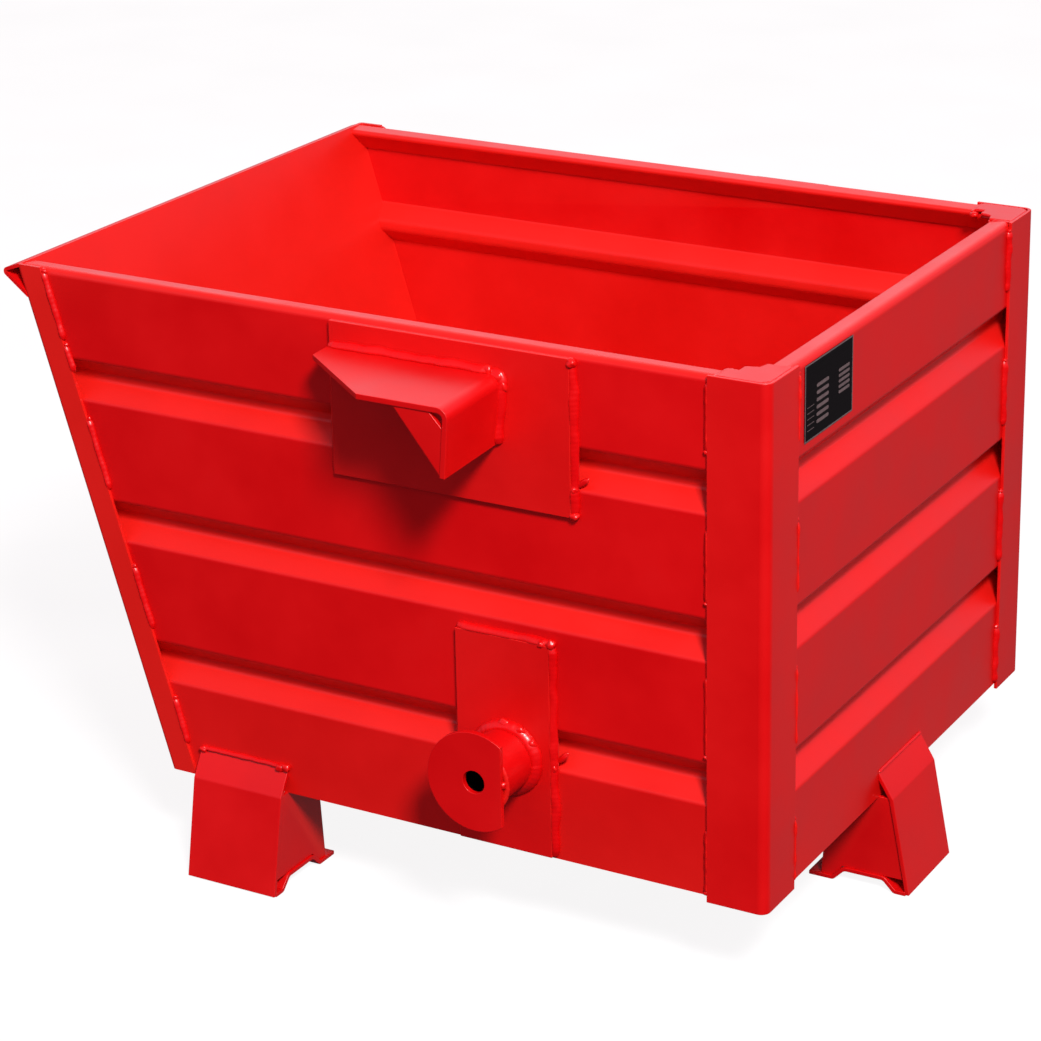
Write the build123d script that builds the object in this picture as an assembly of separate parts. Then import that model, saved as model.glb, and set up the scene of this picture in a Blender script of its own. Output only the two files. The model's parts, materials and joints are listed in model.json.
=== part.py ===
from build123d import *

import math
import os

# Stackable crane tipping skip: an open welded sheet steel box with a sloped pouring front.
# Units are millimetres. +Z is up and +X points from the pouring front to the rear wall.
# The origin lies on the floor under the feet, at the middle of the overall length and width.
# Left is the -Y side, seen by someone standing behind the skip and facing its pouring front.

# Driving sizes of the body
BODY_WIDTH = 900.0
POST_HEIGHT = 740.0
RIM_LENGTH = 1177.0
BOTTOM_LENGTH = 958.0
WALL_LIFT = 8.0
FOOT_DROP = 138.0

# Sheet and plate thicknesses
WALL_SHEET = 4.0
POST_SHEET = 5.0
FLOOR_SHEET = 4.0
CAP_SHEET = 5.0
FOOT_SHEET = 6.0
BACKING_PLATE = 8.0
BRACKET_PLATE = 8.0
DISC_PLATE = 8.0
DATA_PLATE = 1.0

# Stiffening beads pressed into the side walls and the rear wall
BEAD_BELOW_RIM = 129.0
BEAD_PITCH = 205.0
BEAD_COUNT = 3
BEAD_HEIGHT = 60.0
BEAD_DEPTH = 26.0
BEAD_FLOOR = 12.0
BEAD_RADIUS = 8.0

# Rim folded inward from the top of each beaded wall and back down towards it
RIM_WIDTH = 40.0
RIM_FOLD = 45.0
RIM_FALL = 4.5
RIM_DEPTH = 38.0
RIM_RADIUS = 10.0
RIM_NOSE_RADIUS = 5.5
RIM_GAP = 4.0

# Corner posts and the plates that close the rear rim corners
POST_LEG = 88.0
POST_RADIUS = 14.0
CAP_REACH = 78.0
CAP_INNER = 62.0
CAP_CHAMFER = 18.0
CAP_CHAMFER_SIDE = 6.0
CAP_CLEAR = 10.0

# Pouring front
CHUTE_SHEET = 5.0
CHUTE_FLANGE = 40.0
CHUTE_RADIUS = 7.0
CHUTE_OVERHANG = 4.0
LIP_REACH = 22.5
LIP_NOSE_DROP = 9.0
LIP_RETURN = 47.0
LIP_NOSE = 8.0
LIP_RADIUS = 6.0

# Crane catch near the front of each side wall
CATCH_PLATE_REAR = 284.0
CATCH_PLATE_LENGTH = 367.0
CATCH_PLATE_HEIGHT = 219.0
CATCH_PLATE_TOP_GAP = 7.0
CATCH_LEG_REAR = 382.0
CATCH_BELOW_RIM = 42.0
CATCH_TILT = 2.2
CATCH_LEG_HEIGHT = 98.0
CATCH_LEG_LEAN = 10.0
CATCH_REACH = 142.0
CATCH_SQUARE_END = 40.0
CATCH_DIAGONAL = 131.0
CATCH_RADIUS = 16.0
CATCH_WEB_LENGTH = 76.0
CATCH_WEB_RELIEF = 22.0
CATCH_WEB_INSET = 2.0

# Tipping trunnion low on each side wall
TRUNNION_PLATE_LENGTH = 145.0
TRUNNION_PLATE_TOP = 324.0
TRUNNION_PLATE_LIFT = 3.0
TRUNNION_PLATE_SHIFT = 5.0
TRUNNION_FROM_REAR = 389.0
TRUNNION_HEIGHT = 149.0
TRUNNION_REACH = 92.0
TUBE_DIAMETER = 88.9
TUBE_WALL = 8.0
DISC_RADIUS = 72.0
DISC_FLAT = 42.0
DISC_BORE = 33.0

# Stacking feet: one under each side wall near the front, one under the rear wall
FOOT_LENGTH = 150.0
FOOT_FROM_REAR = 830.0
FOOT_TOP = 47.0
FOOT_BEND_OUT = 18.0
FOOT_BEND_UP = 9.0
FOOT_FLARE = 46.0
FOOT_RADIUS = 10.0
FOOT_PLATE_END = 2.0
SADDLE_RISE = 17.0
SADDLE_SEAT = 60.0
SADDLE_SEAT_OUT = 4.0
SADDLE_INNER_LIP = 38.0
SADDLE_RADIUS = 8.0
GUSSET_TOP_REACH = 82.0
GUSSET_FOOT_REACH = 93.0
GUSSET_INSET = 3.0
GUSSET_NOTCH = 8.0

# Data plate on the rear wall
DATA_LENGTH = 148.0
DATA_HEIGHT = 105.0
DATA_FROM_SIDE = 113.0
DATA_RADIUS = 3.0

# Dependent positions
HALF_WIDTH = BODY_WIDTH / 2
LIP_TIP_FROM_REAR = RIM_LENGTH + LIP_REACH
X_REAR = (LIP_TIP_FROM_REAR - FOOT_FLARE) / 2
Z_POST = FOOT_DROP
Z_TOP = Z_POST + POST_HEIGHT
Z_WALL = Z_POST + WALL_LIFT
SLOPE = math.atan2(RIM_LENGTH - BOTTOM_LENGTH, POST_HEIGHT - WALL_LIFT)
FAR = 2 * LIP_TIP_FROM_REAR


def polygon(points):
    """Flat face in the sketch plane through the given corner points."""
    return make_face(Polyline(*points, close=True))


def folded_strip(points, thickness, radius, side):
    """Cross-section of a folded sheet whose outer line runs through the points."""
    line = FilletPolyline(*points, radius=radius)
    return make_face(offset(line, thickness, side=side))


def side_section(face):
    """Puts a face drawn as (distance inward, height) onto the left wall, ready to run along +X."""
    return Plane(origin=(0, -HALF_WIDTH, 0), x_dir=(0, 1, 0), z_dir=(1, 0, 0)) * face


def along_x(face, x_start, x_end):
    """Extrudes a left wall section from x_start to x_end."""
    return Pos(x_start, 0, 0) * extrude(side_section(face), x_end - x_start)


def along_y(face, y_start, y_end):
    """Extrudes a section drawn as (x, z) from y_start to y_end."""
    plane = Plane(origin=(0, y_start, 0), x_dir=(1, 0, 0), z_dir=(0, -1, 0))
    return extrude(plane * face, y_start - y_end)


def box_between(low, high):
    """Box with the two given corners."""
    size = [high[i] - low[i] for i in range(3)]
    centre = [(high[i] + low[i]) / 2 for i in range(3)]
    return Pos(*centre) * Box(*size)


def chute_x(height, inset):
    """X of the pouring sheet at a height, moved inset square to the sheet into the body."""
    outer = X_REAR - BOTTOM_LENGTH - (height - Z_WALL) * math.tan(SLOPE)
    return outer + inset / math.cos(SLOPE)


def ahead_of_chute(inset):
    """Everything in front of the pouring sheet's plane moved inset into the body."""
    low, high = -POST_HEIGHT, 2 * Z_TOP
    corners = [
        (chute_x(low, inset), low),
        (chute_x(high, inset), high),
        (-FAR, high),
        (-FAR, low),
    ]
    return along_y(polygon(corners), -FAR, FAR)


def mirrored(solid):
    """The same piece on the right side of the skip."""
    return mirror(solid, about=Plane.XZ)


# Corner posts and rim corner plates -------------------------------------------------------------


def post_section():
    """Folded angle of the left rear corner post in plan."""
    points = [
        (X_REAR - POST_LEG, -HALF_WIDTH),
        (X_REAR, -HALF_WIDTH),
        (X_REAR, -HALF_WIDTH + POST_LEG),
    ]
    return folded_strip(points, POST_SHEET, POST_RADIUS, Side.LEFT)


def cap_section():
    """Rim corner plate in plan, closing the corner between the two folded rims."""

    def at(from_rear, from_side):
        return (X_REAR - from_rear, -HALF_WIDTH + from_side)

    points = [
        at(POST_SHEET + CAP_CLEAR, POST_SHEET),
        at(CAP_REACH, POST_SHEET),
        at(CAP_REACH, RIM_WIDTH),
        at(CAP_INNER, RIM_WIDTH),
        at(CAP_INNER, CAP_INNER - CAP_CHAMFER_SIDE),
        at(CAP_INNER - CAP_CHAMFER, CAP_INNER),
        at(RIM_WIDTH, CAP_REACH),
        at(POST_SHEET, CAP_REACH),
        at(POST_SHEET, POST_SHEET + CAP_CLEAR),
    ]
    return polygon(points)


corner_post_left = Pos(0, 0, Z_POST) * extrude(post_section(), POST_HEIGHT)
rim_corner_plate_left = Pos(0, 0, Z_TOP - CAP_SHEET) * extrude(cap_section(), CAP_SHEET)

# Pouring front and floor ------------------------------------------------------------------------


def chute_body():
    """Sloped sheet with a flange folded back over each side wall."""
    base = Plane(
        origin=(chute_x(Z_WALL, 0), 0, Z_WALL),
        x_dir=(0, 1, 0),
        z_dir=(-math.sin(SLOPE), 0, math.cos(SLOPE)),
    )
    back = -CHUTE_FLANGE
    points = [
        (-HALF_WIDTH, back),
        (-HALF_WIDTH, 0),
        (HALF_WIDTH, 0),
        (HALF_WIDTH, back),
    ]
    section = folded_strip(points, CHUTE_SHEET, CHUTE_RADIUS, Side.RIGHT)
    run = 2 * FAR
    whole = base * (Pos(0, 0, -run / 2) * extrude(section, run))
    slab = box_between((-FAR, -FAR, Z_WALL - CHUTE_OVERHANG), (FAR, FAR, Z_TOP))
    return whole & slab


def chute_lip():
    """Stiffening nose folded forward and back from the top edge of the pouring sheet."""
    nose_x = chute_x(Z_TOP, 0) - LIP_REACH
    nose_z = Z_TOP - LIP_NOSE_DROP
    return_z = Z_TOP - LIP_RETURN
    points = [
        (chute_x(Z_TOP, CHUTE_SHEET / 2), Z_TOP),
        (nose_x, nose_z),
        (nose_x, nose_z - LIP_NOSE),
        (chute_x(return_z, CHUTE_SHEET / 2), return_z),
    ]
    section = folded_strip(points, CHUTE_SHEET, LIP_RADIUS, Side.LEFT)
    return along_y(section, -HALF_WIDTH, HALF_WIDTH) & ahead_of_chute(CHUTE_SHEET / 2)


front_chute = chute_body() + chute_lip()

x_floor_rear = X_REAR - POST_SHEET - WALL_SHEET
y_floor = HALF_WIDTH - POST_SHEET - WALL_SHEET
floor_plate = box_between(
    (-FAR / 2, -y_floor, Z_WALL), (x_floor_rear, y_floor, Z_WALL + FLOOR_SHEET)
) - ahead_of_chute(CHUTE_SHEET)

# Beaded walls ---------------------------------------------------------------------------------


def wall_points():
    """Outer line of a beaded wall from its bottom edge upward, as (distance inward, height)."""
    flank = (BEAD_HEIGHT - BEAD_FLOOR) / 2
    points = [(POST_SHEET, Z_WALL)]
    for index in reversed(range(BEAD_COUNT)):
        top = Z_TOP - BEAD_BELOW_RIM - index * BEAD_PITCH
        points.append((POST_SHEET, top - BEAD_HEIGHT))
        points.append((POST_SHEET + BEAD_DEPTH, top - BEAD_HEIGHT + flank))
        points.append((POST_SHEET + BEAD_DEPTH, top - flank))
        points.append((POST_SHEET, top))
    return points


def wall_section(rim_top):
    """Cross-section of a beaded wall with its folded rim, whose outer edge is at rim_top."""
    beaded = wall_points()
    rim = [
        (POST_SHEET, rim_top),
        (RIM_FOLD, rim_top - RIM_FALL),
        (POST_SHEET + WALL_SHEET + RIM_GAP, Z_TOP - RIM_DEPTH),
    ]
    radii = [BEAD_RADIUS] * (len(beaded) - 1) + [RIM_RADIUS, RIM_NOSE_RADIUS]
    return folded_strip(beaded + rim, WALL_SHEET, radii, Side.RIGHT)


def side_half_space():
    """Prism on the side wall's side of the left rear mitre."""
    corner_x = X_REAR - POST_SHEET
    corner_y = -HALF_WIDTH + POST_SHEET
    profile = [
        (corner_x + POST_LEG, corner_y - POST_LEG),
        (corner_x - HALF_WIDTH, corner_y + HALF_WIDTH),
        (-FAR, corner_y + HALF_WIDTH),
        (-FAR, corner_y - POST_LEG),
    ]
    return extrude(polygon(profile), 2 * Z_TOP)


x_wall_front = chute_x(Z_TOP, 0)
x_rim_end = X_REAR - CAP_REACH
rim_run = along_x(wall_section(Z_TOP), x_wall_front, x_rim_end)
corner_run = along_x(wall_section(Z_TOP - CAP_SHEET), x_rim_end, X_REAR)
side_wall_left = rim_run + (corner_run & side_half_space())
side_wall_left = side_wall_left - ahead_of_chute(CHUTE_SHEET) - corner_post_left - front_chute

rear_turn = Pos(X_REAR, 0, 0) * Rot(0, 0, 90) * Pos(0, HALF_WIDTH, 0)
half_rim = HALF_WIDTH - CAP_REACH
rear_rim_run = rear_turn * along_x(wall_section(Z_TOP), -half_rim, half_rim)
left_end = rear_turn * along_x(wall_section(Z_TOP - CAP_SHEET), -HALF_WIDTH, -half_rim)
left_end = left_end - side_half_space() - corner_post_left
rear_wall = rear_rim_run + left_end + mirrored(left_end)

# Crane catches ----------------------------------------------------------------------------------
y_wall_face = -HALF_WIDTH + POST_SHEET
y_plate_face = y_wall_face - BACKING_PLATE
x_catch_front = X_REAR - CATCH_PLATE_REAR - CATCH_PLATE_LENGTH
x_catch_rear = X_REAR - CATCH_PLATE_REAR
x_leg = X_REAR - CATCH_LEG_REAR
y_catch_face = -HALF_WIDTH - CATCH_REACH
z_catch = Z_TOP - CATCH_BELOW_RIM
z_catch_plate = Z_TOP - CATCH_PLATE_TOP_GAP

catch_backing_plate_left = box_between(
    (x_catch_front, y_plate_face, z_catch_plate - CATCH_PLATE_HEIGHT),
    (x_catch_rear, y_wall_face, z_catch_plate),
)


def tilted(solid):
    """The solid tipped outward and down about the catch's top line on its backing plate."""
    hinge = Pos(0, y_plate_face, z_catch)
    tipped = hinge * Rot(CATCH_TILT, 0, 0) * hinge.inverse() * solid
    backing = box_between((-FAR, y_plate_face, 0), (FAR, HALF_WIDTH, 2 * Z_TOP))
    return tipped - backing


def catch_bracket():
    """Plate folded to a hook leg and a hanging rear leg, standing out from its backing."""
    points = [
        (x_catch_front, z_catch),
        (x_leg, z_catch),
        (x_leg - CATCH_LEG_LEAN, z_catch - CATCH_LEG_HEIGHT),
    ]
    section = folded_strip(points, BRACKET_PLATE, CATCH_RADIUS, Side.RIGHT)
    folded = along_y(section, y_catch_face, y_plate_face + BACKING_PLATE)
    corner = [
        (x_catch_front, y_plate_face - CATCH_SQUARE_END),
        (x_catch_front + CATCH_DIAGONAL, y_catch_face),
        (x_catch_front + CATCH_DIAGONAL, y_catch_face - CATCH_REACH),
        (x_catch_front - CATCH_REACH, y_catch_face - CATCH_REACH),
        (x_catch_front - CATCH_REACH, y_plate_face - CATCH_SQUARE_END),
    ]
    return folded - extrude(polygon(corner), 2 * Z_TOP)


def leg_inner_x(depth):
    """X of the hanging leg's inner face at a depth below the top of the catch."""
    lean = CATCH_LEG_LEAN / CATCH_LEG_HEIGHT
    return x_leg - depth * lean - BRACKET_PLATE * math.hypot(1, lean)


def catch_web():
    """Triangular plate closing the outer end of the catch below its bend."""
    tip_depth = CATCH_LEG_HEIGHT - CATCH_WEB_INSET
    relief_depth = BRACKET_PLATE + CATCH_WEB_RELIEF
    points = [
        (leg_inner_x(BRACKET_PLATE) - CATCH_WEB_LENGTH, z_catch - BRACKET_PLATE),
        (leg_inner_x(BRACKET_PLATE) - CATCH_WEB_RELIEF, z_catch - BRACKET_PLATE),
        (leg_inner_x(relief_depth), z_catch - relief_depth),
        (leg_inner_x(tip_depth), z_catch - tip_depth),
    ]
    y_out = y_catch_face + CATCH_WEB_INSET
    return along_y(polygon(points), y_out, y_out + BRACKET_PLATE)


catch_bracket_left = tilted(catch_bracket())
catch_web_left = tilted(catch_web())

# Trunnions --------------------------------------------------------------------------------------
x_trunnion = X_REAR - TRUNNION_FROM_REAR
x_trunnion_plate = x_trunnion - TRUNNION_PLATE_SHIFT
z_trunnion = Z_POST + TRUNNION_HEIGHT
y_disc_face = -HALF_WIDTH - TRUNNION_REACH
y_disc_back = y_disc_face + DISC_PLATE

trunnion_backing_plate_left = box_between(
    (x_trunnion_plate - TRUNNION_PLATE_LENGTH / 2, y_plate_face, Z_WALL + TRUNNION_PLATE_LIFT),
    (x_trunnion_plate + TRUNNION_PLATE_LENGTH / 2, y_wall_face, Z_POST + TRUNNION_PLATE_TOP),
)


def trunnion_tube():
    """Thick tube the crane gear hooks under, square to its backing plate."""
    ring = Circle(TUBE_DIAMETER / 2) - Circle(TUBE_DIAMETER / 2 - TUBE_WALL)
    plane = Plane(origin=(x_trunnion, y_plate_face, z_trunnion), x_dir=(1, 0, 0), z_dir=(0, -1, 0))
    return extrude(plane * ring, y_plate_face - y_disc_back)


def trunnion_disc():
    """Retaining disc with a bored middle and one flat cut on its rear side."""
    beyond = Pos(DISC_FLAT + DISC_RADIUS, 0) * Rectangle(2 * DISC_RADIUS, 2 * DISC_RADIUS)
    outline = Circle(DISC_RADIUS) - Circle(DISC_BORE / 2) - beyond
    plane = Plane(origin=(x_trunnion, y_disc_back, z_trunnion), x_dir=(1, 0, 0), z_dir=(0, -1, 0))
    return extrude(plane * outline, DISC_PLATE)


trunnion_tube_left = trunnion_tube()
trunnion_disc_left = trunnion_disc()

# Stacking feet ----------------------------------------------------------------------------------
# Foot sections are drawn as (distance outward from the body, height) and run along +X.
plate_line = [
    (-POST_SHEET, Z_POST + FOOT_TOP),
    (FOOT_BEND_OUT, Z_POST + FOOT_BEND_UP),
    (FOOT_FLARE, 0),
]


def foot_plate_section():
    """Bent outer plate of a foot, bevelled against the wall and cut level above the floor."""
    (x0, z0), (x1, z1), (x2, z2) = plate_line
    upper = ((x0 - x1) * 2, (z0 - z1) * 2)
    lower = ((x2 - x1) / (z1 - z2), -1)
    start = (x1 + upper[0], z1 + upper[1])
    past_floor = Z_POST + FOOT_TOP
    end = (x1 + lower[0] * past_floor, z1 - past_floor)
    strip = folded_strip([start, (x1, z1), end], FOOT_SHEET, FOOT_RADIUS, Side.RIGHT)
    keep = polygon([
        (-POST_SHEET, FOOT_PLATE_END),
        (FAR, FOOT_PLATE_END),
        (FAR, Z_TOP),
        (-POST_SHEET, Z_TOP),
    ])
    return strip & keep


def outside_plate():
    """Everything on the outer side of the foot plate's inner face."""
    (x1, z1), (x2, z2) = plate_line[1:]
    lean = math.atan2(x2 - x1, z1 - z2)
    shift = FOOT_SHEET / math.cos(lean)
    slope = (x2 - x1) / (z1 - z2)
    low_x = x1 + slope * (z1 + Z_POST) - shift
    high_x = x1 - shift
    return polygon([
        (low_x, -Z_POST),
        (2 * FAR, -Z_POST),
        (2 * FAR, z1),
        (high_x, z1),
    ])


def saddle_section():
    """Hat-shaped sole: outer lip, raised seat over the rim below, inner lip."""
    seat_out = SADDLE_SEAT_OUT
    seat_in = seat_out - SADDLE_SEAT
    points = [
        (FAR, 0),
        (seat_out + SADDLE_RISE, 0),
        (seat_out, SADDLE_RISE),
        (seat_in, SADDLE_RISE),
        (seat_in - SADDLE_RISE, 0),
        (seat_in - SADDLE_RISE - SADDLE_INNER_LIP, 0),
    ]
    strip = folded_strip(points, FOOT_SHEET, SADDLE_RADIUS, Side.RIGHT)
    return strip - outside_plate()


def gusset_section(sole):
    """End plate of a foot between the body's underside, the outer plate and the sole."""
    seat_top = SADDLE_RISE + FOOT_SHEET
    seat_in = SADDLE_SEAT_OUT - SADDLE_SEAT
    outline = polygon([
        (FOOT_FLARE, seat_top),
        (FOOT_FLARE, Z_WALL),
        (-GUSSET_TOP_REACH, Z_WALL),
        (-GUSSET_FOOT_REACH, FOOT_SHEET),
        (seat_in - SADDLE_RISE, FOOT_SHEET),
        (seat_in - GUSSET_NOTCH / 2, seat_top),
    ])
    (x0, z0), (x1, z1) = plate_line[:2]
    reach = math.hypot(x1 - x0, z0 - z1)
    shift = FOOT_SHEET * reach / (z0 - z1)
    upper_x = x1 - shift
    beyond = polygon([
        (upper_x, z1),
        (upper_x - (z0 - z1) * (x1 - x0) / (z0 - z1), z0),
        (FAR, z0),
        (FAR, z1),
    ])
    return outline - outside_plate() - beyond - sole - foot_plate_section()


foot_frame = Plane(origin=(0, 0, 0), x_dir=(0, -1, 0), z_dir=(-1, 0, 0))


def foot_run(face, length, start):
    """Extrudes a foot section along +X about the foot's own middle, facing -Y."""
    return Pos(start + length, 0, 0) * extrude(foot_frame * face, length)


sole_face = saddle_section()
gusset_face = gusset_section(sole_face)
own_plate = foot_run(foot_plate_section(), FOOT_LENGTH, -FOOT_LENGTH / 2)
own_saddle = foot_run(sole_face, FOOT_LENGTH, -FOOT_LENGTH / 2)
gusset_near = -FOOT_LENGTH / 2 + GUSSET_INSET
gusset_far = FOOT_LENGTH / 2 - GUSSET_INSET - FOOT_SHEET
own_gussets = [foot_run(gusset_face, FOOT_SHEET, start) for start in (gusset_near, gusset_far)]

left_place = Pos(X_REAR - FOOT_FROM_REAR, -HALF_WIDTH, 0)
rear_place = Pos(X_REAR, 0, 0) * Rot(0, 0, 90)

# Data plate -------------------------------------------------------------------------------------
x_rear_face = X_REAR - POST_SHEET
y_data = -HALF_WIDTH + DATA_FROM_SIDE
z_data = Z_TOP - RIM_RADIUS - DATA_HEIGHT
data_outline = RectangleRounded(DATA_LENGTH, DATA_HEIGHT, DATA_RADIUS)
data_frame = Plane(
    origin=(x_rear_face, y_data + DATA_LENGTH / 2, z_data + DATA_HEIGHT / 2),
    x_dir=(0, 1, 0),
    z_dir=(1, 0, 0),
)
data_plate = extrude(data_frame * data_outline, DATA_PLATE)

# Assembly ---------------------------------------------------------------------------------------
left_pieces = {
    "side_wall": side_wall_left,
    "corner_post": corner_post_left,
    "rim_corner_plate": rim_corner_plate_left,
    "catch_backing_plate": catch_backing_plate_left,
    "catch_bracket": catch_bracket_left,
    "catch_web": catch_web_left,
    "trunnion_backing_plate": trunnion_backing_plate_left,
    "trunnion_tube": trunnion_tube_left,
    "trunnion_disc": trunnion_disc_left,
    "foot_plate": left_place * own_plate,
    "foot_saddle": left_place * own_saddle,
    "foot_gusset_front": left_place * own_gussets[0],
    "foot_gusset_back": left_place * own_gussets[1],
}

pieces = {
    "rear_wall": rear_wall,
    "front_chute": front_chute,
    "floor_plate": floor_plate,
    "foot_plate_rear": rear_place * own_plate,
    "foot_saddle_rear": rear_place * own_saddle,
    "foot_gusset_rear_left": rear_place * own_gussets[0],
    "foot_gusset_rear_right": rear_place * own_gussets[1],
    "data_plate": data_plate,
}
for name, solid in left_pieces.items():
    pieces[name + "_left"] = solid
    pieces[name + "_right"] = mirrored(solid)

os.makedirs("parts", exist_ok=True)
for name, solid in pieces.items():
    export_step(solid, "parts/" + name + ".step")
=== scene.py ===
"""Looks of a stackable crane tipping skip: red enamel, weld seams, data plate and a plain stage."""
import json
import math
import random

import bmesh
import bpy
from bpy.props import FloatProperty, FloatVectorProperty, PointerProperty
from mathutils import Matrix, Vector, noise


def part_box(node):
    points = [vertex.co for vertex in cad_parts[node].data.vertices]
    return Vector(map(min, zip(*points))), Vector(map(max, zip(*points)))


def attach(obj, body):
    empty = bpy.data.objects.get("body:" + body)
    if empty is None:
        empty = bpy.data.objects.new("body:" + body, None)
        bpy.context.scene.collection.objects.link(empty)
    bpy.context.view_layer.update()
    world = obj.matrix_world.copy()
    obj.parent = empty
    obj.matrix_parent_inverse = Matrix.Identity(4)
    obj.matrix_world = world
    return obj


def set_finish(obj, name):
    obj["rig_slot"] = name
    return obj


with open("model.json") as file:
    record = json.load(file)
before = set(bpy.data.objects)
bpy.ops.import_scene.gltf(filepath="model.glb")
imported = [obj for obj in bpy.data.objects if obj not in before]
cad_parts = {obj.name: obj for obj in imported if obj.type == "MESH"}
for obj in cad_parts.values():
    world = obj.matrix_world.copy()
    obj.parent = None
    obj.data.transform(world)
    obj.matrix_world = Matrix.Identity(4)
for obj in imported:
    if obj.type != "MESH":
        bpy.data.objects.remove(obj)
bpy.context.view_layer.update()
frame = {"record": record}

bl_info = {
    "name": "Crane Tipping Skip",
    "version": (1, 0, 0),
    "blender": (4, 5, 0),
    "location": "View3D > Sidebar > Skip",
    "description": "Paints, welds and lights a stackable crane tipping skip",
    "category": "Object",
}

MM = 0.001
SIDES = ("left", "right")
# Share of a bead's leg that lies on the edge of a backing plate, so that it ends at the plate's face
EDGE_SHARE = 0.88

# Pieces made of thin folded sheet, whose bends come with the model
SHEET_NODES = ["side_wall_left", "side_wall_right", "rear_wall", "front_chute", "floor_plate"]
# Pieces cut or folded from plate and tube, whose cut edges are rounded here
PLATE_NODES = [
    node
    for node in sorted(part["node"] for part in frame["record"]["subparts"])
    if node not in SHEET_NODES and node != "data_plate"
]


# Colour and node helpers ------------------------------------------------------------------------


def linear(code):
    """Linear colour of an sRGB hex value such as '#C80A0A'."""
    values = [int(code[i : i + 2], 16) / 255 for i in (1, 3, 5)]
    return tuple(v / 12.92 if v <= 0.04045 else ((v + 0.055) / 1.055) ** 2.4 for v in values) + (1.0,)


def add_node(tree, kind, settings=None, links=None):
    """Adds a shader node; settings name its properties or sockets, links name the sockets that feed it."""
    node = tree.nodes.new(kind)
    for key, value in (settings or {}).items():
        if isinstance(key, str) and hasattr(node, key):
            setattr(node, key, value)
        else:
            node.inputs[key].default_value = value
    for key, socket in (links or {}).items():
        tree.links.new(socket, node.inputs[key])
    return node


def new_material(name):
    """Empty node material and its tree."""
    material = bpy.data.materials.new(name)
    material.use_nodes = True
    material.node_tree.nodes.clear()
    return material, material.node_tree


def enamel(name, paint, roughness, peel_mm, peel_depth_mm, wave_depth_mm, bore=None):
    """Sprayed alkyd enamel over steel: glossy, faintly orange peeled, and a little wavy where the sheet is.

    Within a bore, given as (axis point, radius), the coat is painted near black: painted shade for the deep,
    unlit inside of the bore.
    """
    material, tree = new_material(name)
    place = add_node(tree, "ShaderNodeTexCoord").outputs["Object"]
    at = {"Vector": place}

    # Cloudy spray passes a hand's breadth wide, and grime and overspray a few millimetres wide
    cloud = add_node(
        tree, "ShaderNodeTexNoise", {"Scale": 1 / (140 * MM), "Detail": 3.0, "Roughness": 0.55}, at
    ).outputs["Fac"]
    fleck = add_node(
        tree, "ShaderNodeTexNoise", {"Scale": 1 / (9 * MM), "Detail": 4.0, "Roughness": 0.7}, at
    ).outputs["Fac"]
    thin = add_node(tree, "ShaderNodeMapRange", {"From Min": 0.32, "From Max": 0.62}, {"Value": cloud})
    passes = add_node(
        tree,
        "ShaderNodeMixRGB",
        {"Color1": paint.deep, "Color2": paint.base},
        {"Fac": thin.outputs["Result"]},
    )
    spots = add_node(
        tree,
        "ShaderNodeMapRange",
        {"From Min": 0.66, "From Max": 0.85, "To Max": 0.35},
        {"Value": fleck},
    )
    flecked = add_node(
        tree,
        "ShaderNodeMixRGB",
        {"Color2": paint.thin_coat_and_edge_highlight},
        {"Color1": passes.outputs["Color"], "Fac": spots.outputs["Result"]},
    )

    # Sharp edges are painted paler in the thin coat colour: a painted highlight for the light the edges catch
    edge = add_node(
        tree,
        "ShaderNodeMapRange",
        {"From Min": 0.53, "From Max": 0.62, "To Max": 0.45},
        {"Value": add_node(tree, "ShaderNodeNewGeometry").outputs["Pointiness"]},
    )
    coat = add_node(
        tree,
        "ShaderNodeMixRGB",
        {"Color2": paint.thin_coat_and_edge_highlight},
        {"Color1": flecked.outputs["Color"], "Fac": edge.outputs["Result"]},
    )
    # Painted shade: the bore is coloured near black
    if bore:
        coat = painted_bore_shade(tree, place, coat, *bore)

    gloss = add_node(
        tree,
        "ShaderNodeMapRange",
        {"From Min": 0.3, "From Max": 0.7, "To Min": roughness - 0.06, "To Max": roughness + 0.08},
        {"Value": cloud},
    )
    # Orange peel is about 2 mm wide and is drawn coarser so that it shows
    peel = add_node(tree, "ShaderNodeTexNoise", {"Scale": 1 / (peel_mm * MM), "Detail": 2.0}, at)
    # The sheet's own waves are about two hands wide
    wave = add_node(tree, "ShaderNodeTexNoise", {"Scale": 1 / (180 * MM), "Detail": 1.0}, at)
    rolled = add_node(
        tree, "ShaderNodeBump", {"Distance": wave_depth_mm * MM}, {"Height": wave.outputs["Fac"]}
    )
    skin = add_node(
        tree,
        "ShaderNodeBump",
        {"Distance": peel_depth_mm * MM},
        {"Height": peel.outputs["Fac"], "Normal": rolled.outputs["Normal"]},
    )
    surface = add_node(
        tree,
        "ShaderNodeBsdfPrincipled",
        {"IOR": 1.5, "Metallic": 0.0, "Specular IOR Level": paint.gloss},
        {
            "Base Color": coat.outputs["Color"],
            "Roughness": gloss.outputs["Result"],
            "Normal": skin.outputs["Normal"],
        },
    )
    add_node(tree, "ShaderNodeOutputMaterial", links={"Surface": surface.outputs["BSDF"]})
    return material


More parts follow.
